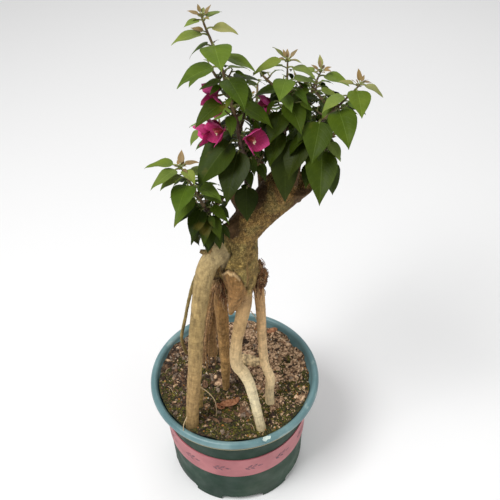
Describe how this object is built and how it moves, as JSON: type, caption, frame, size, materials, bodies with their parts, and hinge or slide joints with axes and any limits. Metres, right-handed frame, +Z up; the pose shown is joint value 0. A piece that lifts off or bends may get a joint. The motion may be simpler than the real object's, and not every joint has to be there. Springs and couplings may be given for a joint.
{
  "type": "potted flowering bonsai",
  "caption": "Bougainvillea bonsai in a footed nursery pot: stout trunk raised on long bare roots, chopped top, leafy shoots with magenta bracts.",
  "frame": {"origin": "centre of the pot's flat underside, on the pot's axis", "axes": "+Z up along the pot's axis, +X to the viewer's right, +Y away from the viewer"},
  "size_m": [0.2146, 0.19, 0.5791],
  "materials": {
    "pot_plastic": "satin",
    "band": "matte",
    "soil": "rough",
    "bark": "rough",
    "root_bark": "rough",
    "shoot_bark": "satin",
    "leaf": "satin"
  },
  "bodies": {
    "root": {"pot": "pot_plastic", "pot_band": "band", "soil": "soil", "trunk": "bark", "root_left_front": "root_bark", "root_right_front": "root_bark", "root_right_back": "root_bark", "root_centre": "root_bark", "root_back_broad": "root_bark", "root_back_thin": "root_bark", "root_far_left": "root_bark", "root_left_small": "root_bark", "bough_tall": "shoot_bark", "bough_centre": "shoot_bark", "bough_inner": "shoot_bark", "bough_outer": "shoot_bark", "bough_right": "shoot_bark", "bough_left": "shoot_bark", "bough_back_left": "shoot_bark", "bough_back": "shoot_bark", "bough_back_right": "shoot_bark", "foliage_tall": "leaf", "foliage_centre": "leaf", "foliage_inner": "leaf", "foliage_outer": "leaf", "foliage_right": "leaf", "foliage_left": "leaf", "foliage_back_left": "leaf", "foliage_back": "leaf", "foliage_back_right": "leaf"}
  },
  "joints": []
}
